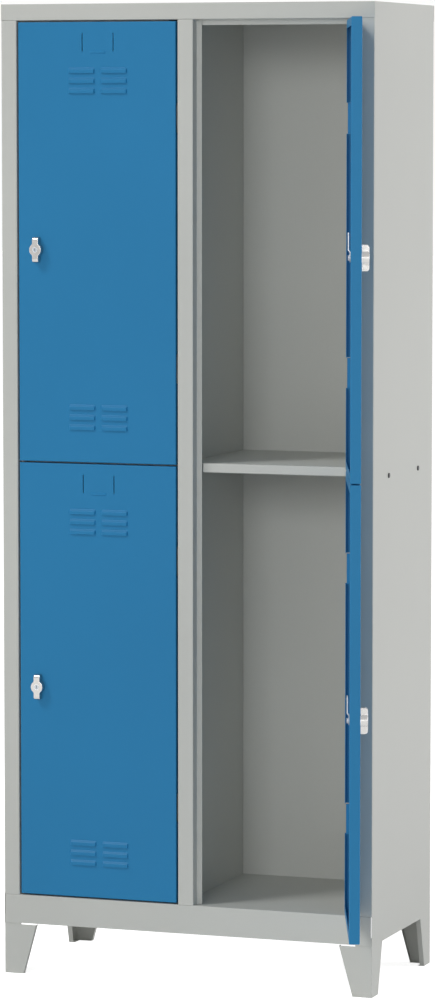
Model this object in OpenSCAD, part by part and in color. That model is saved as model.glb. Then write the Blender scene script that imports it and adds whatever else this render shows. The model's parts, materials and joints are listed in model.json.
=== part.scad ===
// School locker: two columns of two compartments in folded sheet steel,
// standing on four tapered legs that are folded from the side panels.
// Origin: centre of the footprint on the floor. +Z up, the doors face -Y.
// The left doors are shut and the right doors stand open.

/* [Cabinet] */
// Overall width of the carcass
width = 720; // [640:10:900]
// Overall depth of the carcass
depth = 360; // [320:10:500]
// Overall height from the floor to the roof
height = 1800; // [1600:10:2000]
// Thickness of the carcass and door sheet
sheet = 0.8; // [0.8:0.1:1.0]
// Width of each front stile
stile = 30; // [26:1:34]
// Height of the fascia above the doors
fascia = 30; // [26:1:40]
// Height of the cabinet floor above the ground
floor_height = 149; // [140:1:170]
// Height of the legs under the apron
leg_height = 95.5; // [85:0.5:100]

/* [Legs] */
// Width of a leg where it leaves the carcass
leg_top = 63; // [55:1:75]
// Width of a leg at the ground
leg_foot = 37; // [32:1:45]
// Width of the folded lip along a leg's slanted edge
leg_lip = 9; // [6:1:12]
// Width of the sole folded under a leg
sole = 12; // [10:1:15]

/* [Doors] */
// Gap between a door's upright edge and its frame
side_gap = 3.5; // [3:0.5:4.5]
// Gap above, below and between the doors
level_gap = 3; // [3:0.5:4]
// Depth of a door from its face to its inner lips
door_depth = 19; // [18:0.5:19.5]
// Width of the lips folded inwards round the back of a door
door_lip = 15; // [12:1:18]
// How far the right doors stand open
open_angle = 109.65; // [0:0.05:112]

/* [Door pressings] */
// Sideways offset of the label holder and louvres from the middle of a door
pressing_offset = 2.5; // [0:0.5:5]
// Length of one louvre
louvre_length = 52; // [45:1:60]
// Height of one louvre
louvre_height = 9.2; // [8:0.1:12]
// How far a louvre stands out of the door
louvre_rise = 2.8; // [2:0.1:3]
// Distance from one louvre to the next below it
louvre_pitch = 18.4; // [16:0.1:22]
// Space between the two columns of louvres
louvre_space = 11.2; // [9:0.1:15]
// Distance between the two slits of the label holder
label_width = 60.6; // [50:0.1:70]
// Height of the slits of the label holder
label_height = 33; // [28:1:38]

/* [Locks] */
// Distance of the lock from a door's free edge
lock_inset = 37.5; // [36:0.5:45]
// Distance of the lock below the middle of a door
lock_drop = 13; // [0:1:30]
// Diameter of the round part of the knob
knob_d = 23.4; // [22:0.1:25]
// Length of the knob's wing from tip to tip
wing_length = 47; // [42:1:52]
// Width of the wing
wing_width = 12; // [10:0.5:14]
// How far the knob stands out of the door
knob_height = 14; // [12:0.5:16]
// Reach of the cam from the axis of the lock
cam_reach = 44; // [40:1:48]

/* [Hinges] */
// Distance of each hinge from the top or bottom of its door
hinge_inset = 175; // [120:5:220]
// Length of the knuckle on the frame
knuckle_length = 50; // [40:1:60]
// Diameter of the hinge pin
pin_d = 5; // [4.8:0.1:5.2]

/* [Shelves] */
// Height of the folded front edge of a shelf
shelf_edge = 17; // [15:1:20]
// Distance of the shelf screws in front of and behind the middle of the depth
screw_spread = 89; // [70:1:110]

/* [Hidden] */
UPPER_LEFT = [0, 1];
LOWER_LEFT = [0, 0];
UPPER_RIGHT = [1, 1];
LOWER_RIGHT = [1, 0];
TIERS = [0, 1];
FRONT_AND_BACK = [-1, 1];

grey = [0.72, 0.73, 0.70];
blue = [0.12, 0.42, 0.60];
chrome = [0.85, 0.86, 0.88];
zinc = [0.62, 0.64, 0.66];
dark_steel = [0.22, 0.23, 0.24];

// Folded sheet
half = sheet / 2;                 // sheets are drawn about their middle line
bend = half + 1;                  // middle-line radius of every fold
bend_steps = 4;
clear = 0.1;                      // slip clearance between carcass pieces
lap = 4;                          // overlap of the runs that make up one folded piece
relief = 2;                       // space left where two flanges meet at a corner

// Carcass
stop_depth = 20;                  // depth of the faces that the doors close against
stop_width = 10;                  // width of those faces
stop_gap = 1;                     // space between the ends of those faces at a corner
hinge_return = 32;                // depth of the fold that carries the hinges
hinge_room = 24;                  // length kept free of the top stop beside the hinges
rear_flange = 15;                 // width of the folds that hold the back panel
partition_flange = 12;
floor_flange = 25;                // height of the folds round the underside of the floor
back_y = depth - 2 * sheet;       // front of the back panel
leg_face_top = leg_height - 2.5;  // the front of a leg stops short of the apron
leg_tab = 17;                     // reach of a leg's tab behind the apron

rail_z = height - fascia;         // underside of the fascia
partition_x = (width - stile) / 2;
opening = partition_x - stile;    // width of one doorway
door_w = opening - 2 * side_gap;
door_h = (rail_z - floor_height - 3 * level_gap) / 2;

// Hinges
pivot_in = 7;                     // pin axis from the door's hinged edge
pivot_back = 6;                   // pin axis from the door's face
free_x = pivot_in - door_w;       // free edge of a door, from its pin axis
wall_x = pivot_in + side_gap;     // frame wall, from the pin axis
pin_r = pin_d / 2;
pin_fit = 0.06;                   // running clearance of the pin in the knuckle
pin_hold = 0.02;                  // clearance of the pin in the bracket's ears
pin_head_r = pin_r + 1;
pin_head_h = 1.5;
pin_tail = 2;                     // length of the pin below the lower ear
leaf = 2;                         // thickness of the hinge leaves
knuckle_r = pin_r + leaf;
leaf_turn = 12.5;                 // depth at which a leaf turns towards the frame
leaf_plate = 12;                  // length of the leaf's plate on the frame
hinge_window = knuckle_length + 5;
window_y = -1.5;                  // front of the window in the door's hinged edge
ear_gap = 0.3;                    // space between knuckle and ear
bracket_reach = 9;                // bracket's plate from the pin axis
bracket_t = 1.5;
bracket_back = 11;                // back edge of the plate
bracket_foot = 12;                // height of the bracket's feet on the door's skin

// Shelves
shelf_z = floor_height + level_gap + door_h + level_gap / 2 + 4.5;  // top of the shelves
shelf_y = stop_depth + 2;
shelf_flange = 28;
shelf_edge_return = 9;            // depth of the fold under a shelf's front edge
screw_drop = 18.5;                // screws below the top of a shelf
screw_r = 2.5;
screw_fit = 0.2;
screw_head_r = 4.5;
screw_head_h = 1.6;
screw_length = 9;
nut_r = 4.6;                      // to the corners
nut_h = 4;
nut_fit = 0.05;
partition_grip = partition_x - sheet - clear;   // inner face of the left shelf's flange
side_grip = 2 * sheet + clear;                  // inner face of a flange against a side

// Pressings, from a door's pin axis and lower edge
pressing_x = (free_x + pivot_in) / 2 + pressing_offset;
louvre_low = 60.1;                // lowest louvre above the bottom of a door
louvre_high = 83.6;               // highest louvre below the top of a door
louvre_rows = 3;
louvre_slope = 3;                 // height over which a hood slopes out of the door
louvre_taper = 2;                 // the same at each end of a hood
slit = 1.6;
slit_top = 20.5;                  // slits below the top of a door
ledge_length = 30;
ledge_top = 52.6;                 // ledge below the top of a door
louvre_bottoms = concat(
    [for (i = [0:louvre_rows - 1]) louvre_low + i * louvre_pitch],
    [for (i = [0:louvre_rows - 1]) door_h - louvre_high - louvre_height - i * louvre_pitch]
);
louvre_columns = [-louvre_length - louvre_space / 2, louvre_space / 2];

// Locks, from the middle of the lock on the door's face
barrel_r = 9;
barrel_hole_fit = 0.1;
barrel_flange_r = 10.8;
barrel_flange_h = 1.2;
barrel_end = 17.5;
lock_nut_r = 13;                  // to the corners
lock_nut_h = 4;
knob_base = -barrel_flange_h - 0.2;
knob_round = 6;                   // radius of the wing's outer corners
spindle_r = 6.4;
turning_fit = 0.06;
plug_r = 4.4;
plug_end = 4;
plug_proud = 0.4;
keyway = [1.2, 5.6];              // width and height
square_w = 7;                     // square that drives the cam
square_fit = 0.05;
cam_y = 18;
cam_t = 2;
cam_set = 3.2;                    // step from the hub of the cam to its blade
cam_step_z = 10;                  // height at which the step starts
cam_hub_r = 8;
cam_width = 14;
cam_nose = [8, 5];                // width and length of the blade's narrow end
cam_screw_r = 2.5;
cam_screw_fit = 0.05;
cam_screw_start = 9;
cam_screw_head_r = 5.2;           // to the corners
cam_screw_head_h = 3;

// ---------- Folded sheet ----------

function heading(a, b) = (b - a) / norm(b - a);
function left_of(u) = [-u[1], u[0]];
function turned(v, a) = [v[0] * cos(a) - v[1] * sin(a), v[0] * sin(a) + v[1] * cos(a)];

// Stations round the fold at path[i]: [point on the middle line, unit normal]
function fold_stations(path, i) =
    let (
        u = heading(path[i - 1], path[i]),
        v = heading(path[i], path[i + 1]),
        turn = atan2(u[0] * v[1] - u[1] * v[0], u * v),
        side = sign(turn),
        centre = path[i] - u * bend * tan(abs(turn) / 2) + left_of(u) * side * bend
    )
    [for (k = [0:bend_steps])
        let (n = turned(left_of(u), turn * k / bend_steps))
        [centre - n * side * bend, n]];

function stations(path) =
    let (last = len(path) - 1)
    concat(
        [[path[0], left_of(heading(path[0], path[1]))]],
        [for (i = [1:1:last - 1]) each fold_stations(path, i)],
        [[path[last], left_of(heading(path[last - 1], path[last]))]]
    );

// Outline of a sheet that follows a middle line and is folded at its corners
module folded(path) {
    s = stations(path);
    polygon(concat(
        [for (p = s) p[0] + p[1] * half],
        [for (i = [len(s) - 1:-1:0]) s[i][0] - s[i][1] * half]
    ));
}

// A plan outline raised from z0 to z1
module upright(z0, z1) {
    translate([0, 0, z0])
        linear_extrude(z1 - z0)
            children();
}

// An outline drawn as (depth, height), run across from x0 to x1
module across(x0, x1) {
    translate([x0, 0, 0])
        rotate([90, 0, 90])
            linear_extrude(x1 - x0)
                children();
}

// An outline drawn as (width, height), run back from y0 to y1
module back_from(y0, y1) {
    translate([0, y1, 0])
        rotate([90, 0, 0])
            linear_extrude(y1 - y0)
                children();
}

module block(low, high) {
    translate(low)
        cube(high - low);
}

// A round bar along Y from y0 to y1
module bar_y(r, y0, y1) {
    translate([0, y0, 0])
        rotate([-90, 0, 0])
            cylinder(r = r, h = y1 - y0, $fn = 64);
}

// Cabinet frame: x from the left side, y from the front, z from the ground
module in_cabinet() {
    translate([-width / 2, -depth / 2, 0])
        children();
}

module mirrored_across() {
    translate([width, 0, 0])
        mirror([1, 0, 0])
            children();
}

// ---------- Carcass ----------

// Side view of one leg, standing at y = 0 and leaning in to its foot
module leg_outline(top_z) {
    polygon([[0, 0], [leg_foot, 0], [leg_top, top_z], [0, top_z]]);
}

// Thin strip along the slanted edge of a leg, seen square on
module leg_lip_outline(top_z) {
    polygon([
        [leg_foot - sheet, 0], [leg_foot, 0],
        [leg_top, top_z], [leg_top - sheet, top_z]
    ]);
}

module front_leg() {
    intersection() {
        upright(0, leg_height)
            folded([[leg_top, half], [half, half], [half, leg_top]]);
        back_from(-1, depth)
            leg_outline(leg_height);
        across(-1, width)
            leg_outline(leg_height);
        union() {
            block([-1, -1, 0], [width, depth, leg_face_top]);
            block([-1, -1, leg_face_top - 1], [sheet, depth, leg_height]);
        }
    }
    back_from(0, leg_lip)
        leg_lip_outline(leg_face_top);
    across(0, leg_lip)
        leg_lip_outline(leg_height);
    // sole
    block([half, half, 0], [leg_foot - half, sole, sheet]);
    block([half, half, 0], [sole, leg_foot - half, sheet]);
}

module rear_leg() {
    translate([0, depth, 0])
        mirror([0, 1, 0])
            front_leg();
}

// Side panel with its stile, seen from above, for the left of the cabinet
module side_panel(stile_path) {
    side_line = [half, depth - half];
    back_end = [rear_flange, depth - half];
    // stile, side and rear flange beside the doorway
    upright(floor_height, rail_z)
        folded(concat(stile_path, [[half, half], side_line, back_end]));
    // side beside the apron
    upright(leg_height - 1, floor_height + 1)
        folded([[half, 0], side_line, back_end]);
    // side behind the fascia, under the roof
    upright(rail_z - 1, height - sheet)
        folded([[half, relief], [half, depth - relief]]);
    front_leg();
    rear_leg();
    // tab that joins the front of the leg to the back of the apron
    block([half, sheet, leg_face_top - 2 * lap], [stile + 2, 2 * sheet, leg_face_top + leg_tab]);
}

module shelf_screw_places() {
    for (y = FRONT_AND_BACK)
        translate([0, depth / 2 + y * screw_spread, shelf_z - screw_drop])
            children();
}

module shelf_screw_holes(x0, x1) {
    shelf_screw_places()
        translate([x0, 0, 0])
            rotate([0, 90, 0])
                cylinder(r = screw_r + screw_fit, h = x1 - x0, $fn = 48);
}

module left_side_panel() {
    color(grey)
        in_cabinet()
            difference() {
                side_panel([
                    [stile + stop_width, stop_depth + half],
                    [stile - half, stop_depth + half],
                    [stile - half, half]
                ]);
                shelf_screw_holes(-1, 2);
            }
}

module right_side_panel() {
    color(grey)
        in_cabinet()
            mirrored_across()
                difference() {
                    side_panel([[stile - half, hinge_return], [stile - half, half]]);
                    shelf_screw_holes(-1, 2);
                }
}

module partition() {
    x = partition_x + half;
    rear_y = back_y - half;
    rear = [[x, rear_y], [x - partition_flange, rear_y]];
    color(grey)
        in_cabinet()
            difference() {
                union() {
                    upright(floor_height, rail_z)
                        folded(concat([
                            [partition_x + stile + stop_width, stop_depth + half],
                            [partition_x + stile - half, stop_depth + half],
                            [partition_x + stile - half, half],
                            [x, half]
                        ], rear));
                    upright(rail_z - 1, height - sheet - clear)
                        folded(concat([[x, shelf_y]], rear));
                }
                shelf_screw_holes(partition_x - 1, partition_x + 2);
            }
}

module roof_panel() {
    rail = rail_z + half;
    stop_y = stop_depth + half;
    color(grey)
        in_cabinet() {
            // fascia, roof and rear flange
            across(0, width)
                folded([
                    [half, rail_z + relief],
                    [half, height - half],
                    [depth - half, height - half],
                    [depth - half, rail_z]
                ]);
            // fold under the fascia
            across(sheet + clear, width - sheet - clear)
                folded([[stop_y, rail], [half, rail], [half, rail + lap]]);
            for (x = [0, width - 2 * sheet])
                block([x, 0, rail_z], [x + 2 * sheet, sheet, rail_z + lap]);
            // stops behind the tops of the doors
            for (x = [stile, partition_x + stile])
                across(x + stop_width + stop_gap, x + opening - hinge_room)
                    folded([[stop_y, rail_z - stop_width], [stop_y, rail], [stop_y / 2, rail]]);
        }
}

module floor_panel() {
    z = floor_height - half;
    side_x = sheet + half;
    rear_y = back_y - half;
    flange_z = floor_height - floor_flange;
    color(grey)
        in_cabinet() {
            // apron, floor and rear flange
            across(relief, width - relief)
                folded([[half, leg_height], [half, z], [rear_y, z], [rear_y, flange_z]]);
            // fold under the apron, between the legs' tabs
            across(stile + lap, width - stile - lap)
                folded([
                    [stile / 2, leg_height + half],
                    [half, leg_height + half],
                    [half, leg_height + lap]
                ]);
            back_from(stop_depth, depth - stop_depth)
                folded([[side_x, flange_z], [side_x, z], [width - side_x, z], [width - side_x, flange_z]]);
        }
}

module back_panel() {
    color(grey)
        in_cabinet()
            block(
                [relief, back_y, leg_height],
                [width - relief, back_y + sheet, height - relief]
            );
}

// A shelf between two walls, with its front edge inside one doorway
module shelf(wall_left, wall_right, door_left) {
    z = shelf_z - half;
    edge_y = shelf_y + half;
    edge_z = shelf_z - shelf_edge + half;
    rear_y = back_y - sheet - clear - half;
    left = wall_left + clear + half;
    right = wall_right - clear - half;
    door_right = door_left + opening;
    color(grey)
        in_cabinet()
            difference() {
                union() {
                    // plate and side flanges
                    back_from(shelf_y + relief, rear_y - relief)
                        folded([
                            [left, shelf_z - shelf_flange], [left, z],
                            [right, z], [right, shelf_z - shelf_flange]
                        ]);
                    // front edge
                    across(door_left + stop_width + relief, door_right - relief)
                        folded([
                            [shelf_y + shelf_edge_return, edge_z], [edge_y, edge_z],
                            [edge_y, z], [edge_y + 2 * lap, z]
                        ]);
                    // rear flange
                    across(left + relief, right - relief)
                        folded([[rear_y - 2 * lap, z], [rear_y, z], [rear_y, edge_z]]);
                }
                // corner cut back round the fold that carries the hinges
                if (wall_right > door_right)
                    block([door_right - 1, 0, 0], [width, hinge_return + 1, height]);
                shelf_screw_holes(wall_left, wall_left + 2);
                shelf_screw_holes(wall_right - 2, wall_right);
            }
}

module left_shelf() {
    shelf(sheet, partition_x, stile);
}

module right_shelf() {
    shelf(partition_x + sheet, width - sheet, partition_x + stile);
}

// Screw that lies along +X with the underside of its head at x = 0
module shelf_screw() {
    rotate([0, 90, 0]) {
        translate([0, 0, -screw_head_h])
            cylinder(r = screw_head_r, h = screw_head_h, $fn = 48);
        cylinder(r = screw_r, h = screw_length, $fn = 48);
    }
}

module shelf_nut(x) {
    shelf_screw_places()
        translate([x, 0, 0])
            rotate([0, 90, 0])
                difference() {
                    cylinder(r = nut_r, h = nut_h, $fn = 6);
                    translate([0, 0, -1])
                        cylinder(r = screw_r + nut_fit, h = nut_h + 2, $fn = 48);
                }
}

module shelf_screws() {
    color(dark_steel)
        in_cabinet()
            shelf_screw_places() {
                shelf_screw();
                translate([partition_grip, 0, 0])
                    shelf_screw();
                mirrored_across()
                    shelf_screw();
            }
}

module shelf_nuts() {
    color(zinc)
        in_cabinet() {
            shelf_nut(side_grip);
            shelf_nut(partition_x + 2 * sheet + clear);
            shelf_nut(width - side_grip - nut_h);
        }
}

// ---------- Doors ----------
// A door is drawn shut, from its pin axis: x across, y back, z up from its
// lower edge. place = [column, tier].

module at_door_frame(place) {
    translate([
        place[0] * partition_x + stile + opening - wall_x - width / 2,
        pivot_back - depth / 2,
        floor_height + level_gap + place[1] * (door_h + level_gap)
    ])
        children();
}

module at_door(place) {
    at_door_frame(place)
        rotate([0, 0, place[0] * open_angle])
            children();
}

module at_hinges() {
    for (z = [hinge_inset, door_h - hinge_inset])
        translate([0, 0, z])
            children();
}

module at_lock() {
    translate([free_x + lock_inset, -pivot_back, door_h / 2 - lock_drop])
        children();
}

// Rectangle with folded-looking corners of radius r
module folded_rect(low, high, r) {
    corners = [
        [[high[0] - r, high[1] - r], 0], [[low[0] + r, high[1] - r], 90],
        [[low[0] + r, low[1] + r], 180], [[high[0] - r, low[1] + r], 270]
    ];
    polygon([for (c = corners) for (k = [0:bend_steps])
        let (a = c[1] + 90 * k / bend_steps)
        c[0] + r * [cos(a), sin(a)]]);
}

// Solid with the outer form of a door, shrunk by inset on every side
module door_form(inset) {
    r = bend + half - inset;
    low_y = -pivot_back + inset;
    high_y = door_depth - pivot_back - inset;
    intersection() {
        upright(inset, door_h - inset)
            folded_rect([free_x + inset, low_y], [pivot_in - inset, high_y], r);
        across(free_x + inset, pivot_in - inset)
            folded_rect([low_y, inset], [high_y, door_h - inset], r);
    }
}

// One louvre: a hood that slopes out of the door and is open below.
// inset shrinks it to the hollow behind the hood.
module louvre(inset) {
    face = -pivot_back;
    out = face - louvre_rise + inset;
    intersection() {
        across(inset, louvre_length - inset)
            polygon([
                [face + sheet + inset, louvre_height - inset],
                [face, louvre_height - inset],
                [out, louvre_height - louvre_slope - inset],
                [out, 0],
                [face + sheet + inset, 0]
            ]);
        upright(-1, louvre_height + 1)
            polygon([
                [inset, face + sheet + 1], [inset, face], [louvre_taper + inset, out],
                [louvre_length - louvre_taper - inset, out], [louvre_length - inset, face],
                [louvre_length - inset, face + sheet + 1]
            ]);
    }
}

module at_louvres() {
    for (x = louvre_columns, z = louvre_bottoms)
        translate([pressing_x + x, 0, z])
            children();
}

module label_holder_cuts() {
    top = door_h - slit_top;
    for (x = [-label_width / 2, label_width / 2])
        block(
            [pressing_x + x - slit / 2, -pivot_back - 1, top - label_height],
            [pressing_x + x + slit / 2, -pivot_back + sheet + 1, top]
        );
}

// Little pressed ledge that a label stands on
module label_ledge() {
    edge = 0.4;
    rise = 1.2;
    thick = 4.6;
    translate([pressing_x, -pivot_back, door_h - ledge_top - thick])
        across(-ledge_length / 2, ledge_length / 2)
            polygon([
                [half, 0], [-edge, 0], [-rise, 1],
                [-rise, thick - 1], [-edge, thick], [half, thick]
            ]);
}

module door_panel(place) {
    back_y = door_depth - pivot_back;
    color(blue)
        at_door(place)
            difference() {
                union() {
                    difference() {
                        door_form(0);
                        door_form(sheet);
                        block(
                            [free_x + door_lip, back_y - 2, door_lip],
                            [pivot_in - door_lip, back_y + 1, door_h - door_lip]
                        );
                    }
                    at_louvres()
                        louvre(0);
                    label_ledge();
                }
                at_louvres()
                    louvre(sheet);
                label_holder_cuts();
                at_hinges()
                    block(
                        [pivot_in - door_lip - 1, window_y, -hinge_window / 2],
                        [pivot_in + 1, back_y + 1, hinge_window / 2]
                    );
                at_lock()
                    bar_y(barrel_r + barrel_hole_fit, -1, sheet + 1);
            }
}

// ---------- Hinges ----------

// Frame leaf: rolled round the pin, run straight back and turned to the frame
module hinge_leaves(place) {
    color(grey)
        at_door_frame(place)
            at_hinges()
                upright(-knuckle_length / 2, knuckle_length / 2)
                    difference() {
                        union() {
                            circle(r = knuckle_r, $fn = 64);
                            translate([-knuckle_r, 0])
                                square([leaf, leaf_turn + leaf]);
                            translate([-knuckle_r, leaf_turn])
                                square([knuckle_r + wall_x, leaf]);
                            translate([wall_x - leaf, leaf_turn])
                                square([leaf, leaf_plate]);
                        }
                        circle(r = pin_r + pin_fit, $fn = 64);
                    }
}

// Bracket inside the door: an ear above and below the knuckle, each with a foot
// on the skin, joined by a plate that closes the window
module hinge_bracket() {
    skin = sheet - pivot_back;
    ear_z = knuckle_length / 2 + ear_gap;
    difference() {
        union() {
            for (flip = [0, 1])
                mirror([0, 0, flip])
                    translate([0, 0, ear_z]) {
                        linear_extrude(leaf) {
                            circle(r = knuckle_r, $fn = 64);
                            translate([-bracket_reach, skin])
                                square([bracket_reach + knuckle_r, -skin]);
                            translate([-bracket_reach, skin])
                                square([bracket_reach - knuckle_r, bracket_back - skin]);
                        }
                        block(
                            [-bracket_reach, skin, 0],
                            [knuckle_r, skin + bracket_t, bracket_foot]
                        );
                    }
            block(
                [-bracket_reach, skin, -ear_z - leaf],
                [-bracket_reach + bracket_t, bracket_back, ear_z + leaf]
            );
        }
        cylinder(r = pin_r + pin_hold, h = 2 * (ear_z + leaf + 1), center = true, $fn = 64);
    }
}

module hinge_brackets(place) {
    color(blue)
        at_door(place)
            at_hinges()
                hinge_bracket();
}

module hinge_pins(place) {
    top = knuckle_length / 2 + ear_gap + leaf;
    color(zinc)
        at_door(place)
            at_hinges() {
                translate([0, 0, -top - pin_tail])
                    cylinder(r = pin_r, h = 2 * top + pin_tail, $fn = 64);
                translate([0, 0, top])
                    cylinder(r = pin_head_r, h = pin_head_h, $fn = 64);
            }
}

// ---------- Locks ----------
// Drawn from the middle of the lock on the door's face, y back into the door.

// A hexagon with its axis along Y, from y to y + h
module hexagon_y(r, y, h) {
    translate([0, y, 0])
        rotate([-90, 0, 0])
            cylinder(r = r, h = h, $fn = 6);
}

module lock_barrel(place) {
    color(chrome)
        at_door(place)
            at_lock()
                difference() {
                    union() {
                        bar_y(barrel_flange_r, -barrel_flange_h, 0);
                        bar_y(barrel_r, -half, barrel_end);
                    }
                    bar_y(spindle_r + turning_fit, -barrel_flange_h - 1, barrel_end + 1);
                }
}

module lock_nut(place) {
    color(zinc)
        at_door(place)
            at_lock()
                difference() {
                    hexagon_y(lock_nut_r, sheet, lock_nut_h);
                    bar_y(barrel_r + nut_fit, 0, sheet + lock_nut_h + 1);
                }
}

// Side view of the wing: a bar whose outer corners are rounded off
module wing_outline() {
    tip = wing_length / 2 - knob_round;
    out = knob_round - knob_height;
    arc = [for (k = [0:6]) 90 * k / 6];
    polygon(concat(
        [[knob_base, -wing_length / 2], [knob_base, wing_length / 2]],
        [for (a = arc) [out - knob_round * sin(a), tip + knob_round * cos(a)]],
        [for (a = arc) [out - knob_round * cos(a), -tip - knob_round * sin(a)]]
    ));
}

// Wing knob with its disc, spindle and the square that drives the cam
module lock_knob(place) {
    color(chrome)
        at_door(place)
            at_lock()
                difference() {
                    union() {
                        bar_y(knob_d / 2, -knob_height, knob_base);
                        across(-wing_width / 2, wing_width / 2)
                            wing_outline();
                        bar_y(spindle_r, knob_base - 1, cam_y);
                        block(
                            [-square_w / 2, cam_y - 1, -square_w / 2],
                            [square_w / 2, cam_y + cam_t, square_w / 2]
                        );
                    }
                    bar_y(plug_r + turning_fit, -knob_height - 1, plug_end + 0.2);
                    bar_y(cam_screw_r + cam_screw_fit, cam_screw_start - 1, cam_y + cam_t + 1);
                }
}

module key_plug(place) {
    color(zinc)
        at_door(place)
            at_lock()
                difference() {
                    bar_y(plug_r, -knob_height - plug_proud, plug_end);
                    block(
                        [-keyway[0] / 2, -knob_height - 1, -keyway[1] / 2],
                        [keyway[0] / 2, 0, keyway[1] / 2]
                    );
                }
}

// Cam: a hub on the spindle's square, a step back and a blade
module lock_cam(place) {
    blade_y = cam_y + cam_set;
    hole = square_w / 2 + square_fit;
    color(zinc)
        at_door(place)
            at_lock()
                difference() {
                    intersection() {
                        across(-cam_hub_r, cam_hub_r)
                            polygon([
                                [cam_y, -cam_hub_r], [cam_y + cam_t, -cam_hub_r],
                                [cam_y + cam_t, cam_step_z - 1], [blade_y + cam_t, cam_step_z + 3],
                                [blade_y + cam_t, cam_reach], [blade_y, cam_reach],
                                [blade_y, cam_step_z + 4], [cam_y, cam_step_z]
                            ]);
                        back_from(cam_y - 1, blade_y + cam_t + 1)
                            union() {
                                circle(r = cam_hub_r, $fn = 64);
                                translate([-cam_width / 2, 0])
                                    square([cam_width, cam_reach - cam_nose[1] + 1]);
                                translate([-cam_nose[0] / 2, cam_reach - cam_nose[1]])
                                    square(cam_nose);
                            }
                    }
                    block([-hole, cam_y - 1, -hole], [hole, cam_y + cam_t + 1, hole]);
                }
}

module cam_screw(place) {
    head_y = cam_y + cam_t + cam_screw_fit;
    color(zinc)
        at_door(place)
            at_lock() {
                bar_y(cam_screw_r, cam_screw_start, head_y + 0.5);
                hexagon_y(cam_screw_head_r, head_y, cam_screw_head_h);
            }
}

// ---------- Nodes ----------

left_side_panel();
right_side_panel();
partition();
roof_panel();
floor_panel();
back_panel();
left_shelf();
right_shelf();
shelf_screws();
shelf_nuts();

hinge_leaves(UPPER_LEFT);  // upper_left_hinge_leaves
door_panel(UPPER_LEFT);  // upper_left_door
hinge_brackets(UPPER_LEFT);  // upper_left_hinge_brackets
hinge_pins(UPPER_LEFT);  // upper_left_hinge_pins
lock_barrel(UPPER_LEFT);  // upper_left_lock_barrel
lock_nut(UPPER_LEFT);  // upper_left_lock_nut
lock_knob(UPPER_LEFT);  // upper_left_knob
key_plug(UPPER_LEFT);  // upper_left_key_plug
lock_cam(UPPER_LEFT);  // upper_left_cam
cam_screw(UPPER_LEFT);  // upper_left_cam_screw

hinge_leaves(LOWER_LEFT);  // lower_left_hinge_leaves
door_panel(LOWER_LEFT);  // lower_left_door
hinge_brackets(LOWER_LEFT);  // lower_left_hinge_brackets
hinge_pins(LOWER_LEFT);  // lower_left_hinge_pins
lock_barrel(LOWER_LEFT);  // lower_left_lock_barrel
lock_nut(LOWER_LEFT);  // lower_left_lock_nut
lock_knob(LOWER_LEFT);  // lower_left_knob
key_plug(LOWER_LEFT);  // lower_left_key_plug
lock_cam(LOWER_LEFT);  // lower_left_cam
cam_screw(LOWER_LEFT);  // lower_left_cam_screw

hinge_leaves(UPPER_RIGHT);  // upper_right_hinge_leaves
door_panel(UPPER_RIGHT);  // upper_right_door
hinge_brackets(UPPER_RIGHT);  // upper_right_hinge_brackets
hinge_pins(UPPER_RIGHT);  // upper_right_hinge_pins
lock_barrel(UPPER_RIGHT);  // upper_right_lock_barrel
lock_nut(UPPER_RIGHT);  // upper_right_lock_nut
lock_knob(UPPER_RIGHT);  // upper_right_knob
key_plug(UPPER_RIGHT);  // upper_right_key_plug
lock_cam(UPPER_RIGHT);  // upper_right_cam
cam_screw(UPPER_RIGHT);  // upper_right_cam_screw

hinge_leaves(LOWER_RIGHT);  // lower_right_hinge_leaves
door_panel(LOWER_RIGHT);  // lower_right_door
hinge_brackets(LOWER_RIGHT);  // lower_right_hinge_brackets
hinge_pins(LOWER_RIGHT);  // lower_right_hinge_pins
lock_barrel(LOWER_RIGHT);  // lower_right_lock_barrel
lock_nut(LOWER_RIGHT);  // lower_right_lock_nut
lock_knob(LOWER_RIGHT);  // lower_right_knob
key_plug(LOWER_RIGHT);  // lower_right_key_plug
lock_cam(LOWER_RIGHT);  // lower_right_cam
cam_screw(LOWER_RIGHT);  // lower_right_cam_screw
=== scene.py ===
"""School locker: paint, metal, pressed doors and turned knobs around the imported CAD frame."""

import json
import math

import bmesh
import bpy
from mathutils import Matrix, Vector

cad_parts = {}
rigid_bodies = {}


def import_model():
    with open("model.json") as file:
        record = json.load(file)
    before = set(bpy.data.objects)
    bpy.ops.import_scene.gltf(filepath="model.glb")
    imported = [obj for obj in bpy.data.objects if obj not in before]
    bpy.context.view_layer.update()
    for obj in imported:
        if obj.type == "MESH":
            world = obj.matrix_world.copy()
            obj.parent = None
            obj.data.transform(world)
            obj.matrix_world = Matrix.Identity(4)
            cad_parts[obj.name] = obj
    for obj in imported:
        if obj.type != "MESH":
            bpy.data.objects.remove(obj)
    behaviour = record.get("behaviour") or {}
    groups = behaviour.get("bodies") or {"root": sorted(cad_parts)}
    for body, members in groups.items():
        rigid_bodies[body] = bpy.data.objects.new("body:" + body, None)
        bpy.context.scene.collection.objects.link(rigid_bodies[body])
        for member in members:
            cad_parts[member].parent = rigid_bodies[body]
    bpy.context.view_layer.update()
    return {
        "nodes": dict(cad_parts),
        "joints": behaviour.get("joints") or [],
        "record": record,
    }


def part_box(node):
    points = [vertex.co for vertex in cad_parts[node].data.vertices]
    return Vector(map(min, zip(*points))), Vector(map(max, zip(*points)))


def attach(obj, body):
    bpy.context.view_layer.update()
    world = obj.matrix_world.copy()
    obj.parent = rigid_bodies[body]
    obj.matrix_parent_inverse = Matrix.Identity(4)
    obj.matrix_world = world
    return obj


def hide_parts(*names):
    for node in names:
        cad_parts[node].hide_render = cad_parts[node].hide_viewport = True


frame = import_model()

MM = 0.001
DOORS = ["upper_left", "lower_left", "upper_right", "lower_right"]

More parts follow.
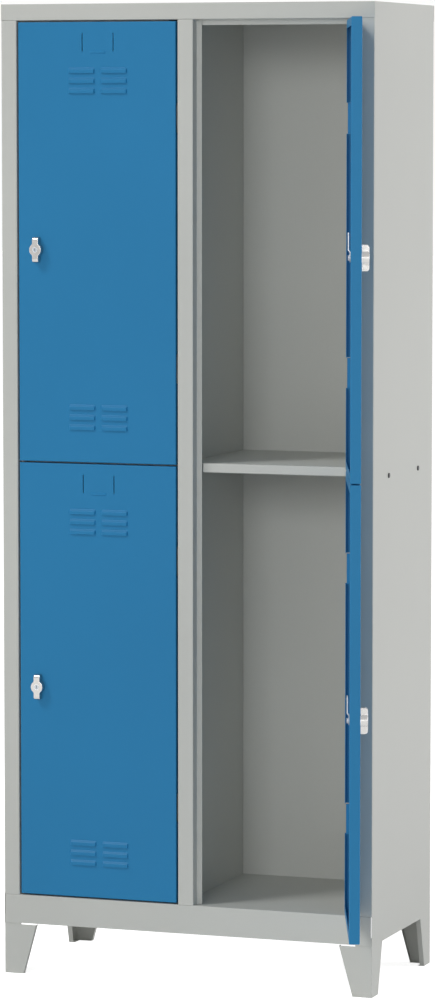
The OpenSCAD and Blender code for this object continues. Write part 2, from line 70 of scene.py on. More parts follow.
# The camera: a long lens, turned a little to the left and looking slightly down
CAMERA_PLACE = (2.78347, -7.72981, 1.60146)
CAMERA_TURN = (math.radians(85.0), 0.0, math.radians(19.82))
CAMERA_LENS = 159.28
CAMERA_SENSOR = 36.0
CAMERA_REACH = 200.0

# Door sheet, in metres
SHEET = 0.8 * MM
FOLD = 1.8 * MM            # outer radius of every fold
FOLD_STEPS = 6
DOOR_DEPTH = 19 * MM
DOOR_LIP = 15 * MM
PIVOT_IN = 7 * MM          # pin axis from the hinged edge
PIVOT_BACK = 6 * MM        # pin axis from the face

# Pressings, from the middle of a door and its top or bottom
PRESSING_OFFSET = 2.5 * MM
LOUVRE_SIZE = (52 * MM, 9.2 * MM)
LOUVRE_RISE = 2.8 * MM
LOUVRE_RAMP = (2 * MM, 3.6 * MM)       # at its ends, and at its top
LOUVRE_GROOVE = (1.6 * MM, 0.35 * MM)  # width and depth of the groove above it
LOUVRE_PITCH = 18.4 * MM
LOUVRE_SPACE = 11.2 * MM
LOUVRE_ROWS = 3
LOUVRE_LOW = 60.1 * MM
LOUVRE_HIGH = 83.6 * MM
SLIT = 1.6 * MM
SLIT_SPAN = 60.6 * MM
SLIT_TOP = 20.5 * MM
SLIT_HEIGHT = 33 * MM
LEDGE_SIZE = (30 * MM, 4.6 * MM)
LEDGE_TOP = 52.6 * MM
LEDGE_RISE = 1.2 * MM
LEDGE_RAMP = 0.7 * MM

# Lock, from the middle of the door's height and its free edge
LOCK_INSET = 37.5 * MM
LOCK_DROP = 13 * MM
LOCK_HOLE = 9.1 * MM
LOCK_PATCH = 12 * MM       # half side of the square of skin round the hole
LOCK_PATCH_CELLS = 8
KNOB_R = 11.7 * MM
WING_HALF = (6 * MM, 23.5 * MM)
KNOB_HEIGHT = 14 * MM
KNOB_BASE = 1.4 * MM
KNOB_EDGE = 1.1 * MM       # rounding of the knob's front edges
WING_END_R = 6 * MM        # rounding of the wing's ends, seen from the side
WING_CORNER = 2 * MM       # rounding of the wing's corners, seen from the front
WAIST_R = 4 * MM           # fillet where the wing meets the round part
SPINDLE_R = 6.4 * MM
SPINDLE_END = 18 * MM
SQUARE_HALF = 3.5 * MM
SQUARE_END = 20 * MM
PLUG_BORE = 4.46 * MM
PLUG_END = 4.2 * MM

# Hinges, from the top and bottom of a door
HINGE_INSET = 175 * MM
HINGE_WINDOW = 55 * MM
WINDOW_FROM = 4.5 * MM     # the window's front edge, behind the face

# Paint and metal, as linear colours
GREY_PAINT = (0.545, 0.556, 0.527)
BLUE_PAINT = (0.020, 0.200, 0.419)
CHROME = (0.54, 0.53, 0.515)
# Near-white colour for the knob's edges: a painted highlight
CHROME_HIGHLIGHT = (0.95, 0.96, 0.98, 1.0)
ZINC = (0.50, 0.545, 0.59)
BLACK_OXIDE = (0.045, 0.045, 0.05)
RUBBED_OXIDE = (0.16, 0.15, 0.14, 1.0)

# Textures: cells per metre and octaves
CLOUD = (2.2, 3.0)
GRAIN = (900.0, 1.0)
PEEL = (380.0, 2.0)
PATCHES = (40.0, 2.0)
SMUDGE = (120.0, 3.0)
HAIRLINE = (1500.0, 2.0)
SCRATCH = (700.0, 3.0)
MOTTLE = (500.0, 3.0)
FLOOR_TONE = (0.8, 2.0)
CRYSTAL_SCALE = 260.0
NOISE_RANGE = (0.3, 0.7)   # where most of a noise's values lie
# Bumps: depth and strength
PEEL_BUMP = (0.06 * MM, 0.5)
HAIRLINE_BUMP = (0.02 * MM, 0.35)
SCRATCH_BUMP = (0.02 * MM, 0.4)
MOTTLE_BUMP = (0.03 * MM, 0.5)
# How far the lighter edges reach: worn paint with a painted highlight, chrome with a painted
# highlight, and rubbed oxide
PAINT_EDGE = 1.2 * MM
CHROME_HIGHLIGHT_WIDTH = 1.8 * MM
OXIDE_EDGE = 0.5 * MM
EDGE_LIKENESS = (0.985, 0.8)  # of rounded and true normals, where an edge starts and is full

# Meshes
NEAR = 0.01 * MM           # two places this close are the same
LINE_SPACE = 0.05 * MM     # least space between two grid lines
WELD_SPACE = 0.002 * MM
RAMP_STEPS = 5             # grid cells along the rise at a louvre's ends
LEDGE_STEPS = 3
LOUVRE_STEPS = 6           # grid cells down the top of a louvre
GROOVE_STEPS = 4
KNOB_EDGE_STEPS = 5
ROUND_SIDES = 64           # of the knob's spindle
BORE_SIDES = 48
# Folds are in steps of up to 22.5 degrees, while pressings and cut edges are steeper
SMOOTH_UP_TO = math.radians(25)
SHARP_FROM = math.radians(35)
FLAT_WITHIN = math.radians(1)
# Width of the eased edges of small parts, by the end of the node's name
EASED = {
    "pins": 0.35 * MM, "nut": 0.4 * MM, "nuts": 0.3 * MM, "cam_screw": 0.3 * MM, "cam": 0.25 * MM,
}

# Studio. A brightness is what lights the scene, what metal mirrors and what the camera sees.
SURROUND = (0.28, 0.95, 1.0)
FLOOR_GLOW = (0.0, 0.65, 0.8)
FLOOR_PAINT = (0.93, 0.93, 0.925)
FLOOR_REACH = 40.0
WHITE = (1.0, 1.0, 1.0, 1.0)
# Each light: place, target, side of its square, watts and colour
LIGHTS = {
    "key": ((-6.0, -6.0, 10.0), (0.0, 0.0, 1.0), 3.0, 532.0, (1.0, 1.0, 1.0)),
    "front": ((0.8, -16.0, 5.0), (0.0, 0.0, 1.0), 4.0, 412.0, (1.0, 1.0, 1.0)),
    "fill": ((2.0, -9.0, 2.4), (0.0, 0.0, 0.9), 3.0, 86.0, (1.0, 1.0, 1.0)),
    "side": ((6.0, 2.5, 2.3), (0.36, 0.0, 0.9), 3.0, 192.0, (1.0, 0.985, 1.0)),
}


# ---------- Shader nodes ----------

def add(tree, kind, inputs=None, **settings):
    """Adds a shader node. An input is a value or another node's output."""
    made = tree.nodes.new("ShaderNode" + kind)
    for key, value in settings.items():
        setattr(made, key, value)
    for key, value in (inputs or {}).items():
        if isinstance(value, bpy.types.NodeSocket):
            tree.links.new(value, made.inputs[key])
        else:
            made.inputs[key].default_value = value
    return made


def blank_material(name):
    material = bpy.data.materials.new(name)
    material.use_nodes = True
    tree = material.node_tree
    return material, tree, tree.nodes["Principled BSDF"]


def surface_place(tree):
    """Object coordinates, shifted by the object's place so that like pieces differ."""
    coordinates = add(tree, "TexCoord").outputs["Object"]
    shift = add(tree, "ObjectInfo").outputs["Location"]
    return add(tree, "VectorMath", {0: coordinates, 1: shift}, operation="ADD").outputs[0]


def noise(tree, place, scale, detail=2.0, stretch=None):
    """Noise with that many cells per metre; stretch multiplies the place per axis."""
    if stretch:
        place = add(tree, "VectorMath", {0: place, 1: stretch}, operation="MULTIPLY").outputs[0]
    return add(tree, "TexNoise", {"Vector": place, "Scale": scale, "Detail": detail}).outputs["Fac"]


def spread(tree, value, low, high, start=NOISE_RANGE[0], end=NOISE_RANGE[1]):
    """Maps value from start..end to low..high."""
    return add(tree, "MapRange", {
        "Value": value, "From Min": start, "From Max": end, "To Min": low, "To Max": high,
    }).outputs["Result"]


def scaled(tree, colour, factor):
    return add(tree, "VectorMath", {0: colour, "Scale": factor}, operation="SCALE").outputs[0]


def multiplied(tree, a, b):
    return add(tree, "Math", {0: a, 1: b}, operation="MULTIPLY").outputs[0]


def mixed(tree, factor, a, b):
    """Colour a where factor is 0 and b where it is 1."""
    mix = add(tree, "Mix", data_type="RGBA")
    for key, value in (("Factor", factor), ("A", a), ("B", b)):
        socket = next(s for s in mix.inputs if s.name == key and s.enabled)
        if isinstance(value, bpy.types.NodeSocket):
            tree.links.new(value, socket)
        else:
            socket.default_value = value
    return next(s for s in mix.outputs if s.enabled)


def edge_mask(tree, radius):
    """1 on edges sharper than the radius shows, 0 on open faces."""
    rounded = add(tree, "Bevel", {"Radius": radius}, samples=4).outputs["Normal"]
    true = add(tree, "NewGeometry").outputs["Normal"]
    likeness = add(tree, "VectorMath", {0: rounded, 1: true}, operation="DOT_PRODUCT")
    return spread(tree, likeness.outputs["Value"], 0.0, 1.0, *EDGE_LIKENESS)


def bump(tree, height, depth, strength=1.0):
    return add(tree, "Bump", {"Height": height, "Distance": depth, "Strength": strength}).outputs[0]


def powder_coat(name, colour, roughness, edge_wear_and_highlight):
    """Baked powder paint: fine orange peel, faint cloudiness, and edges lighter in patches, partly
    rubbed wear and partly a painted highlight.
    """
    material, tree, shader = blank_material(name)
    place = surface_place(tree)
    cloud = noise(tree, place, *CLOUD)
    grain = noise(tree, place, *GRAIN)
    peel = noise(tree, place, *PEEL)
    tone = multiplied(tree, spread(tree, cloud, 0.975, 1.025), spread(tree, grain, 0.985, 1.015))
    paint = scaled(tree, colour, tone)
    # The lighter edge colour stands partly for rubbed wear and partly for a painted highlight on
    # the folds
    rubbed_and_highlit = scaled(tree, colour, edge_wear_and_highlight)
    patches = spread(tree, noise(tree, place, *PATCHES), 0.3, 1.0)
    edge_weight = multiplied(tree, edge_mask(tree, PAINT_EDGE), patches)
    tree.links.new(mixed(tree, edge_weight, paint, rubbed_and_highlit), shader.inputs["Base Color"])
    gloss = spread(tree, cloud, roughness - 0.03, roughness + 0.04)
    tree.links.new(gloss, shader.inputs["Roughness"])
    tree.links.new(bump(tree, peel, *PEEL_BUMP), shader.inputs["Normal"])
    shader.inputs["Specular IOR Level"].default_value = 0.2
    return material


def polished_chrome(name):
    """Chrome on die-cast zinc: hairline polishing marks, soft smudges and a painted highlight on
    its edges.
    """
    material, tree, shader = blank_material(name)
    place = surface_place(tree)
    smudge = noise(tree, place, *SMUDGE)
    hairline = noise(tree, place, *HAIRLINE, stretch=(1.0, 1.0, 0.06))
    tone = spread(tree, smudge, 0.94, 1.03)
    face = scaled(tree, CHROME, tone)
    # Painted highlight: the knob's edges are mixed towards near-white
    edges = edge_mask(tree, CHROME_HIGHLIGHT_WIDTH)
    tree.links.new(mixed(tree, edges, face, CHROME_HIGHLIGHT), shader.inputs["Base Color"])
    tree.links.new(spread(tree, smudge, 0.14, 0.24), shader.inputs["Roughness"])
    tree.links.new(bump(tree, hairline, *HAIRLINE_BUMP), shader.inputs["Normal"])
    shader.inputs["Metallic"].default_value = 1.0
    return material


def zinc_plate(name):
    """Bright zinc plate: a cool metal with a faint crystal pattern."""
    material, tree, shader = blank_material(name)
    place = surface_place(tree)
    crystal = add(tree, "TexVoronoi", {"Vector": place, "Scale": CRYSTAL_SCALE}).outputs["Color"]
    shade = add(tree, "RGBToBW", {"Color": crystal}).outputs[0]
    scratch = noise(tree, place, *SCRATCH, stretch=(0.15, 1.0, 1.0))
    tone = multiplied(tree, spread(tree, shade, 0.92, 1.06), spread(tree, scratch, 0.97, 1.03))
    tree.links.new(scaled(tree, ZINC, tone), shader.inputs["Base Color"])
    tree.links.new(spread(tree, shade, 0.28, 0.4), shader.inputs["Roughness"])
    tree.links.new(bump(tree, scratch, *SCRATCH_BUMP), shader.inputs["Normal"])
    shader.inputs["Metallic"].default_value = 1.0
    return material


def black_oxide(name):
    """Blackened steel with brown-grey rub marks on its edges."""
    material, tree, shader = blank_material(name)
    place = surface_place(tree)
    mottle = noise(tree, place, *MOTTLE)
    edge_weight = edge_mask(tree, OXIDE_EDGE)
    dark = scaled(tree, BLACK_OXIDE, spread(tree, mottle, 0.8, 1.25))
    tree.links.new(mixed(tree, edge_weight, dark, RUBBED_OXIDE), shader.inputs["Base Color"])
    tree.links.new(spread(tree, mottle, 0.38, 0.55), shader.inputs["Roughness"])
    tree.links.new(bump(tree, mottle, *MOTTLE_BUMP), shader.inputs["Normal"])
    shader.inputs["Metallic"].default_value = 0.7
    return material


MATERIALS = {
    "carcass_paint": powder_coat("grey_powder_coat", GREY_PAINT, roughness=0.46, edge_wear_and_highlight=1.12),
    "door_paint": powder_coat("blue_powder_coat", BLUE_PAINT, roughness=0.42, edge_wear_and_highlight=1.5),
    "lock_chrome": polished_chrome("polished_chrome"),
    "zinc_steel": zinc_plate("zinc_plate"),
    "dark_steel": black_oxide("black_oxide"),
}


# ---------- Shading of the meshes ----------


def smooth_by_angle_group():
    """Geometry nodes that shade faces smooth and keep edges over SMOOTH_UP_TO sharp."""
    tree = bpy.data.node_groups.new("smooth_by_angle", "GeometryNodeTree")
    tree.interface.new_socket("Geometry", in_out="INPUT", socket_type="NodeSocketGeometry")
    tree.interface.new_socket("Geometry", in_out="OUTPUT", socket_type="NodeSocketGeometry")
    start = tree.nodes.new("NodeGroupInput")
    plain = tree.nodes.new("GeometryNodeRemoveAttribute")
    plain.inputs["Name"].default_value = "custom_normal"
    faces = tree.nodes.new("GeometryNodeSetShadeSmooth")
    faces.domain = "FACE"
    faces.inputs["Shade Smooth"].default_value = True
    edges = tree.nodes.new("GeometryNodeSetShadeSmooth")
    edges.domain = "EDGE"
    edges.inputs["Shade Smooth"].default_value = False
    angle = tree.nodes.new("GeometryNodeInputMeshEdgeAngle")
    over = tree.nodes.new("FunctionNodeCompare")
    over.operation = "GREATER_THAN"
    over.inputs["B"].default_value = SMOOTH_UP_TO
    end = tree.nodes.new("NodeGroupOutput")
    tree.links.new(start.outputs[0], plain.inputs["Geometry"])
    tree.links.new(plain.outputs["Geometry"], faces.inputs["Geometry"])
    tree.links.new(faces.outputs["Geometry"], edges.inputs["Geometry"])
    tree.links.new(angle.outputs["Unsigned Angle"], over.inputs["A"])
    tree.links.new(over.outputs["Result"], edges.inputs["Selection"])
    tree.links.new(edges.outputs["Geometry"], end.inputs[0])
    return tree


SMOOTH = smooth_by_angle_group()


def shade(piece):
    """Smooth folds and round faces, with flat faces kept flat."""
    piece.modifiers.new("smooth_by_angle", "NODES").node_group = SMOOTH
    weighted = piece.modifiers.new("flat_faces", "WEIGHTED_NORMAL")
    weighted.weight = 100
    weighted.keep_sharp = True


def ease_edges(piece, width):
    """Breaks the sharp edges of a small turned or stamped part."""
    merge = piece.modifiers.new("plain_faces", "DECIMATE")
    merge.decimate_type = "DISSOLVE"
    merge.angle_limit = FLAT_WITHIN
    bevel = piece.modifiers.new("eased_edges", "BEVEL")
    bevel.width = width
    bevel.segments = 2
    bevel.limit_method = "ANGLE"
    bevel.angle_limit = SHARP_FROM
    bevel.use_clamp_overlap = True


def finish_cad_nodes():
    slots = {part["node"]: part["material_slot"] for part in frame["record"]["subparts"]}
    for name, piece in frame["nodes"].items():
        for index in range(len(piece.material_slots)):
            piece.material_slots[index].material = MATERIALS[slots[name]]
        weld = piece.modifiers.new("weld", "WELD")
        weld.merge_threshold = WELD_SPACE
        for ending, width in EASED.items():
            if name.endswith("_" + ending):
                ease_edges(piece, width)
        shade(piece)


# ---------- Meshes ----------

def new_piece(name, mesh, body, slot, place):
    """A piece made of mesh at place, riding on body, in the finish of that slot."""
    piece = bpy.data.objects.new(name, mesh)
    bpy.context.scene.collection.objects.link(piece)
    piece.matrix_world = place
    if not mesh.materials:
        mesh.materials.append(MATERIALS[slot])
    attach(piece, body)
    return piece


def mesh_from(name, vertices, faces):
    mesh = bpy.data.meshes.new(name)
    mesh.from_pydata([tuple(v) for v in vertices], [], faces)
    mesh.validate()
    return mesh


def smoothstep(t):
    t = min(1.0, max(0.0, t))
    return t * t * (3 - 2 * t)


def slope(t):
    """A straight rise from 0 to 1 with its ends eased a little."""
    return 0.7 * min(1.0, max(0.0, t)) + 0.3 * smoothstep(t)


def ramp_lines(low, high, ramp, steps):
    """Grid lines that follow a rise of that length at both ends of low..high."""
    rises = [ramp * k / steps for k in range(steps + 1)]
    return [low + r for r in rises] + [high - r for r in rises]


# ---------- Doors ----------

class DoorGrid:
    """The skin of a door as a grid of lines, with its pressings as heights over the face."""

    def __init__(self, width, height):
        self.low = Vector((PIVOT_IN - width, 0.0))
        self.high = Vector((PIVOT_IN, height))
        self.middle = (self.low[0] + self.high[0]) / 2 + PRESSING_OFFSET
        reach = LOUVRE_SPACE / 2
        self.columns = [
            (self.middle - reach - LOUVRE_SIZE[0], self.middle - reach),
            (self.middle + reach, self.middle + reach + LOUVRE_SIZE[0]),
        ]
        steps = [k * LOUVRE_PITCH for k in range(LOUVRE_ROWS)]
        top_row = height - LOUVRE_HIGH - LOUVRE_SIZE[1]
        self.rows = [LOUVRE_LOW + s for s in steps] + [top_row - s for s in steps]
        self.ledge_x = (self.middle - LEDGE_SIZE[0] / 2, self.middle + LEDGE_SIZE[0] / 2)
        self.ledge_z = (height - LEDGE_TOP - LEDGE_SIZE[1], height - LEDGE_TOP)
        self.slits = [
            (self.middle + s * SLIT_SPAN / 2 - SLIT / 2, self.middle + s * SLIT_SPAN / 2 + SLIT / 2)
            for s in (-1, 1)
        ]
        self.slit_z = (height - SLIT_TOP - SLIT_HEIGHT, height - SLIT_TOP)
        self.lock = Vector((self.low[0] + LOCK_INSET, height / 2 - LOCK_DROP))
        self.hinges = [HINGE_INSET, height - HINGE_INSET]
        self.xs = self.lines_across()
        self.zs = self.lines_up()

    def lock_lines(self, axis):
        cell = 2 * LOCK_PATCH / LOCK_PATCH_CELLS
        return [self.lock[axis] - LOCK_PATCH + cell * k for k in range(LOCK_PATCH_CELLS + 1)]

    def tidy(self, lines, axis):
        """Sorted lines between the folds, with lines closer than LINE_SPACE taken as one."""
        kept = [self.low[axis] + FOLD]
        for line in sorted(lines + [self.high[axis] - FOLD]):
            if line - kept[-1] > LINE_SPACE:
                kept.append(line)
        return kept

    def lines_across(self):
        lines = self.lock_lines(0) + ramp_lines(*self.ledge_x, LEDGE_RAMP, LEDGE_STEPS)
        for low, high in self.columns:
            lines += ramp_lines(low, high, LOUVRE_RAMP[0], RAMP_STEPS)
        for low, high in self.slits:
            lines += [low, high]
        return self.tidy(lines, 0)

    def lines_up(self):
        lines = self.lock_lines(1) + ramp_lines(*self.ledge_z, LEDGE_RAMP, LEDGE_STEPS)
        lines += list(self.slit_z)
        for low in self.rows:
            top = low + LOUVRE_SIZE[1]
            down = [LOUVRE_RAMP[1] * k / LOUVRE_STEPS for k in range(LOUVRE_STEPS + 1)]
            groove = [LOUVRE_GROOVE[0] * k / GROOVE_STEPS for k in range(1, GROOVE_STEPS + 1)]
            lines += [low] + [top - d for d in down] + [top + g for g in groove]
        for middle in self.hinges:
            lines += [middle - HINGE_WINDOW / 2, middle + HINGE_WINDOW / 2]
        return self.tidy(lines, 1)

    def rise(self, x, z, above):
        """Height of the pressings over the face. above says on which side of a louvre's slot."""
        for low, high in self.columns:
            ends = slope(min(x - low, high - x) / LOUVRE_RAMP[0])
            for bottom in self.rows:
                started = z > bottom + NEAR or (above and z > bottom - NEAR)
                over = (z - bottom - LOUVRE_SIZE[1]) / LOUVRE_GROOVE[0]
                if 0 < over < 1 and ends > 0:
                    return -LOUVRE_GROOVE[1] * ends * math.sin(math.pi * over)
                if started and ends > 0 and z < bottom + LOUVRE_SIZE[1]:
                    down = (bottom + LOUVRE_SIZE[1] - z) / LOUVRE_RAMP[1]
                    return LOUVRE_RISE * ends * slope(down)
        across = min(x - self.ledge_x[0], self.ledge_x[1] - x)
        up = min(z - self.ledge_z[0], self.ledge_z[1] - z)
        return LEDGE_RISE * smoothstep(across / LEDGE_RAMP) * smoothstep(up / LEDGE_RAMP)

    def on_slot(self, x, z):
        """Whether the skin is parted at this point by the open lower edge of a louvre."""
        inside = any(low + NEAR < x < high - NEAR for low, high in self.columns)
        return inside and any(abs(z - bottom) < NEAR for bottom in self.rows)

    def is_open(self, x, z):
        """Whether the cell with this middle is part of a slit or of the square round the lock."""
        in_slit = any(low < x < high for low, high in self.slits)
        if in_slit and self.slit_z[0] < z < self.slit_z[1]:
            return True
        return max(abs(x - self.lock[0]), abs(z - self.lock[1])) < LOCK_PATCH

    def in_window(self, z):
        return any(abs(z - middle) < HINGE_WINDOW / 2 for middle in self.hinges)


def fold_rings():
    """(inset, depth) of each ring from the edge of the face round both folds to the inner lip."""
    quarter = [math.pi / 2 * k / FOLD_STEPS for k in range(FOLD_STEPS + 1)]
    first = [(FOLD * (1 - math.sin(a)), FOLD * (1 - math.cos(a))) for a in quarter]
    second = [
        (FOLD * (1 - math.cos(a)), DOOR_DEPTH - FOLD + FOLD * math.sin(a)) for a in quarter
    ]
    return first + [(0.0, WINDOW_FROM)] + second + [(DOOR_LIP, DOOR_DEPTH)]


def door_mesh(width, height):
    """Face, folds, walls and lips of a door from its pin axis: x across, y back, z up."""
    grid = DoorGrid(width, height)
    vertices = []
    index = {}

    def point(key, x, y, z):
        if key not in index:
            index[key] = len(vertices)
            vertices.append((x, y - PIVOT_BACK, z))
        return index[key]

    def skin(i, j, above):
        x, z = grid.xs[i], grid.zs[j]
        side = above if grid.on_slot(x, z) else None
        return point(("skin", i, j, side), x, -grid.rise(x, z, above), z)

    faces = []
    last_i, last_j = len(grid.xs) - 1, len(grid.zs) - 1
    for i in range(last_i):
        for j in range(last_j):
            x = (grid.xs[i] + grid.xs[i + 1]) / 2
            z = (grid.zs[j] + grid.zs[j + 1]) / 2
            if not grid.is_open(x, z):
                faces.append([
                    skin(i, j, True), skin(i + 1, j, True),
                    skin(i + 1, j + 1, False), skin(i, j + 1, False),
                ])
    faces += lock_hole_faces(grid, skin, point)
    faces += edge_faces(grid, skin, point)
    return mesh_from("door_leaf", vertices, faces)


def square_loop(first_i, last_i, first_j, last_j):
    """(i, j) round a rectangle of the grid, anticlockwise as seen from the front."""
    return (
        [(i, first_j) for i in range(first_i, last_i)]
        + [(last_i, j) for j in range(first_j, last_j)]
        + [(i, last_j) for i in range(last_i, first_i, -1)]
        + [(first_i, j) for j in range(last_j, first_j, -1)]
    )


def nearest(lines, value):
    return min(range(len(lines)), key=lambda k: abs(lines[k] - value))


def lock_hole_faces(grid, skin, point):
    """Skin between a square of the grid and the round hole of the lock."""
    loop = square_loop(
        nearest(grid.xs, grid.lock[0] - LOCK_PATCH), nearest(grid.xs, grid.lock[0] + LOCK_PATCH),
        nearest(grid.zs, grid.lock[1] - LOCK_PATCH), nearest(grid.zs, grid.lock[1] + LOCK_PATCH),
    )
    outer = [skin(i, j, True) for i, j in loop]
    inner = []
    for k, (i, j) in enumerate(loop):
        spoke = Vector((grid.xs[i], grid.zs[j])) - grid.lock
        rim = grid.lock + spoke.normalized() * LOCK_HOLE
        inner.append(point(("hole", k), rim[0], 0.0, rim[1]))
    count = len(loop)
    return [
        [outer[k], outer[(k + 1) % count], inner[(k + 1) % count], inner[k]] for k in range(count)
    ]


def edge_faces(grid, skin, point):
    """The folds, walls and lips round the face, left out where the hinges need room."""
    last_i, last_j = len(grid.xs) - 1, len(grid.zs) - 1
    loop = square_loop(0, last_i, 0, last_j)
    rings = fold_rings()

    def moved(value, k, last, low, high, inset):
        if k == 0:
            return low + inset
        return high - inset if k == last else value

    def ring_point(r, i, j):
        if r == 0:
            return skin(i, j, True)
        inset, depth = rings[r]
        x = moved(grid.xs[i], i, last_i, grid.low[0], grid.high[0], inset)
        z = moved(grid.zs[j], j, last_j, grid.low[1], grid.high[1], inset)
        return point(("edge", r, i, j), x, depth, z)

    faces = []
    for r in range(len(rings) - 1):
        for k, start in enumerate(loop):
            end = loop[(k + 1) % len(loop)]
            on_hinge_side = start[0] == last_i and end[0] == last_i
            middle = (grid.zs[start[1]] + grid.zs[end[1]]) / 2
            behind = rings[r][1] >= WINDOW_FROM - NEAR
            if on_hinge_side and behind and grid.in_window(middle):
                continue
            faces.append([
                ring_point(r, *start), ring_point(r + 1, *start),
                ring_point(r + 1, *end), ring_point(r, *end),
            ])
    return faces


def door_place(name):
    """Where a door's pin axis meets its lower edge, turned as the door stands at rest."""
    swing = next(j for j in frame["joints"] if j["name"] == name + "_door_swing")
    low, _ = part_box(name + "_door")
    foot = Vector((swing["pos_m"][0], swing["pos_m"][1], low.z))
    turn = math.radians(-min(0.0, swing["range_deg"][0]))
    return Matrix.Translation(foot) @ Matrix.Rotation(turn, 4, "Z")


def make_doors():
    low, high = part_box("upper_left_door")
    mesh = door_mesh(high.x - low.x, high.z - low.z)
    for name in DOORS:
        leaf = new_piece(name + "_door_leaf", mesh, name + "_door", "door_paint", door_place(name))
        thick = leaf.modifiers.new("sheet", "SOLIDIFY")
        thick.thickness = SHEET
        thick.offset = -1.0
        thick.use_even_offset = True
        shade(leaf)
        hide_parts(name + "_door")
    return high.x - low.x, high.z - low.z


# ---------- Knobs ----------

def arc(centre, radius, start, end, steps):
    """Points round centre from one angle to another, in degrees."""
    angles = [math.radians(start + (end - start) * k / steps) for k in range(steps + 1)]
    return [
        Vector((centre[0] + radius * math.cos(a), centre[1] + radius * math.sin(a)))
        for a in angles
    ]


def knob_side():
    """The right-hand half of the knob's outline, from its lower tip to its upper tip."""
    half_w, half_l = WING_HALF
    waist_x = half_w + WAIST_R
    waist_z = math.sqrt((KNOB_R + WAIST_R) ** 2 - waist_x ** 2)
    meet = math.degrees(math.atan2(waist_z, waist_x))
    corner = arc((half_w - WING_CORNER, half_l - WING_CORNER), WING_CORNER, 90, 0, 5)
    span = corner[-1][1] - waist_z
    steps = max(2, round(span / MM))
    side = [Vector((half_w, corner[-1][1] - span * k / steps)) for k in range(1, steps)]
    waist = arc((waist_x, waist_z), WAIST_R, 180, 180 + meet, 6)
    upper = corner + side + waist + arc((0, 0), KNOB_R, meet, 0, 10)[1:]
    lower = [Vector((p[0], -p[1])) for p in upper[:-1]]
    return lower + upper[::-1]


def knob_top(z):
    """Height of the knob's front at that distance along the wing."""
    over = abs(z) - (WING_HALF[1] - WING_END_R)
    if over <= 0:
        return KNOB_HEIGHT
    return KNOB_HEIGHT - WING_END_R + math.sqrt(max(0.0, WING_END_R ** 2 - over ** 2))


def outward(points, k):
    """Normal of a closed outline at its point k."""
    along = points[(k + 1) % len(points)] - points[k - 1]
    return Vector((along[1], -along[0])).normalized()


def knob_body_mesh():
    """The knob's disc and wing, with every front edge rounded. Its axis is Y and its front -Y."""
    side = knob_side()
    outline = side + [Vector((-p[0], p[1])) for p in reversed(side)]
    count = len(outline)
    quarter = [math.pi / 2 * k / KNOB_EDGE_STEPS for k in range(KNOB_EDGE_STEPS + 1)]
    insets = [KNOB_EDGE * (1 - math.cos(a)) for a in quarter]
    vertices = [(p[0], -KNOB_BASE, p[1]) for p in outline]
    for inset in insets:
        drop = KNOB_EDGE - math.sqrt(max(0.0, KNOB_EDGE ** 2 - (KNOB_EDGE - inset) ** 2))
        for k, p in enumerate(outline):
            q = p - outward(outline, k) * inset
            vertices.append((q[0], -(knob_top(q[1]) - drop), q[1]))
    faces = []
    for ring in range(len(insets)):
        for k in range(count):
            a, b = ring * count + k, ring * count + (k + 1) % count
            faces.append([a, b, b + count, a + count])
    top = len(insets) * count
    for k in range(count // 2 - 1):
        ladder = [k, k + 1, count - 2 - k, count - 1 - k]
        faces.append([top + n for n in ladder])
        faces.append([n for n in reversed(ladder)])
    return mesh_from("knob_body", vertices, faces)


def bar_mesh(radius, start, end, sides, turn=0.0):
    """A prism along Y from start to end."""
    built = bmesh.new()
    bmesh.ops.create_cone(
        built, cap_ends=True, segments=sides, radius1=radius, radius2=radius, depth=end - start
    )
    spin = Matrix.Rotation(math.radians(-90), 4, "X") @ Matrix.Rotation(turn, 4, "Z")
    place = Matrix.Translation((0, (start + end) / 2, 0)) @ spin
    bmesh.ops.transform(built, matrix=place, verts=built.verts)
    mesh = bpy.data.meshes.new("bar")
    built.to_mesh(mesh)
    built.free()
    return mesh


def combined(mesh, steps):
    """The mesh after boolean steps: ("UNION" or "DIFFERENCE", other mesh)."""
    scene = bpy.context.scene.collection.objects
    base = bpy.data.objects.new("base", mesh)
    scene.link(base)
    tools = []
    for operation, other in steps:
        tool = bpy.data.objects.new("tool", other)
        scene.link(tool)
        tools.append(tool)
        cut = base.modifiers.new(operation, "BOOLEAN")
        cut.operation = operation
        cut.object = tool
        cut.solver = "EXACT"
    bpy.context.view_layer.update()
    shown = base.evaluated_get(bpy.context.evaluated_depsgraph_get())
    result = bpy.data.meshes.new_from_object(shown)
    for spent in [base] + tools:
        bpy.data.objects.remove(spent)
    return result


def knob_mesh():
    square = bar_mesh(SQUARE_HALF * math.sqrt(2), SPINDLE_END - MM, SQUARE_END, 4, math.radians(45))
    return combined(knob_body_mesh(), [
        ("UNION", bar_mesh(SPINDLE_R, -KNOB_BASE - MM, SPINDLE_END, ROUND_SIDES)),
        ("UNION", square),
        ("DIFFERENCE", bar_mesh(PLUG_BORE, -KNOB_HEIGHT - MM, PLUG_END, BORE_SIDES)),
    ])


def make_knobs(door_width, door_height):
    mesh = knob_mesh()
    mesh.name = "turn_knob"
    mesh.materials.clear()
    face = Vector((PIVOT_IN - door_width + LOCK_INSET, -PIVOT_BACK, door_height / 2 - LOCK_DROP))
    for name in DOORS:
        place = door_place(name) @ Matrix.Translation(face)
        knob = new_piece(name + "_turn_knob", mesh, name + "_knob", "lock_chrome", place)
        shade(knob)
        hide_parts(name + "_knob")


# ---------- Studio ----------

def area_light(name, place, target, size, power, colour):
    data = bpy.data.lights.new(name, "AREA")
    data.shape = "RECTANGLE"
    data.size = size
    data.size_y = size
    data.energy = power
    data.color = colour
    lamp = bpy.data.objects.new(name, data)
    lamp.location = place
    lamp.rotation_euler = (Vector(target) - Vector(place)).to_track_quat("-Z", "Y").to_euler()
    bpy.context.scene.collection.objects.link(lamp)


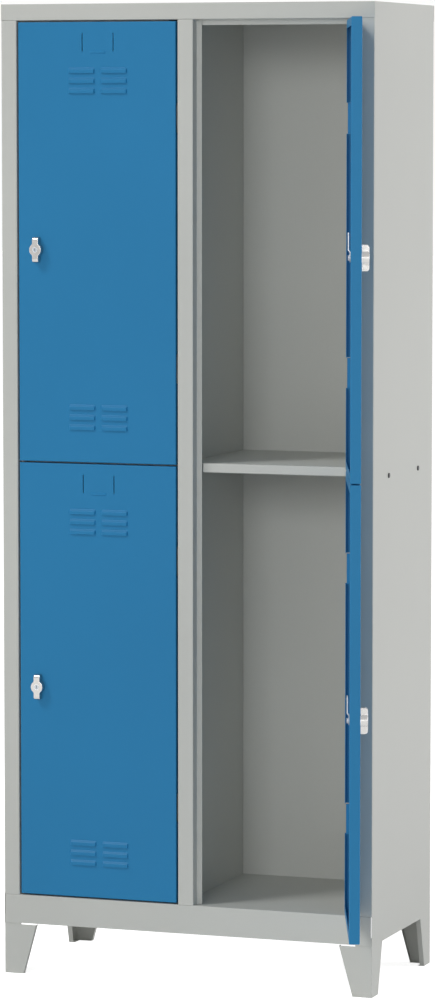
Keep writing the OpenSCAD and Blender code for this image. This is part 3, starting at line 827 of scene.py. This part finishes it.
def by_ray(tree, lighting, mirrored, seen):
    """One value for lighting rays, one for what metal mirrors and one for what the camera sees."""
    path = add(tree, "LightPath").outputs
    in_metal = spread(tree, path["Is Glossy Ray"], lighting, mirrored, start=0.0, end=1.0)
    to_camera = multiplied(tree, path["Is Camera Ray"], seen)
    return add(tree, "Math", {0: in_metal, 1: to_camera}, operation="MAXIMUM").outputs[0]


def make_world():
    """A white surround that lights softly and shows bright in the metal parts."""
    world = bpy.data.worlds.new("studio")
    world.use_nodes = True
    tree = world.node_tree
    background = tree.nodes["Background"]
    background.inputs["Color"].default_value = WHITE
    tree.links.new(by_ray(tree, *SURROUND), background.inputs["Strength"])
    bpy.context.scene.world = world


def make_floor():
    """Pale matt floor that glows to the camera and in metal, so that it runs into the backdrop."""
    material, tree, shader = blank_material("pale_floor")
    place = surface_place(tree)
    tone = spread(tree, noise(tree, place, *FLOOR_TONE), 0.985, 1.0)
    tree.links.new(scaled(tree, FLOOR_PAINT, tone), shader.inputs["Base Color"])
    shader.inputs["Roughness"].default_value = 0.9
    shader.inputs["Specular IOR Level"].default_value = 0.0
    shader.inputs["Emission Color"].default_value = WHITE
    tree.links.new(by_ray(tree, *FLOOR_GLOW), shader.inputs["Emission Strength"])
    signs = ((-1, -1), (1, -1), (1, 1), (-1, 1))
    corners = [(x * FLOOR_REACH, y * FLOOR_REACH, 0) for x, y in signs]
    mesh = mesh_from("floor", corners, [[0, 1, 2, 3]])
    mesh.materials.append(material)
    floor = bpy.data.objects.new("floor", mesh)
    bpy.context.scene.collection.objects.link(floor)


def make_camera():
    data = bpy.data.cameras.new("camera")
    data.lens = CAMERA_LENS
    data.sensor_width = CAMERA_SENSOR
    data.clip_end = CAMERA_REACH
    camera = bpy.data.objects.new("camera", data)
    camera.location = CAMERA_PLACE
    camera.rotation_euler = CAMERA_TURN
    bpy.context.scene.collection.objects.link(camera)
    bpy.context.scene.camera = camera


def make_studio():
    view = bpy.context.scene.view_settings
    view.view_transform = "Standard"
    make_world()
    for name, settings in LIGHTS.items():
        area_light(name, *settings)
    make_floor()
    make_camera()


finish_cad_nodes()
make_knobs(*make_doors())
make_studio()
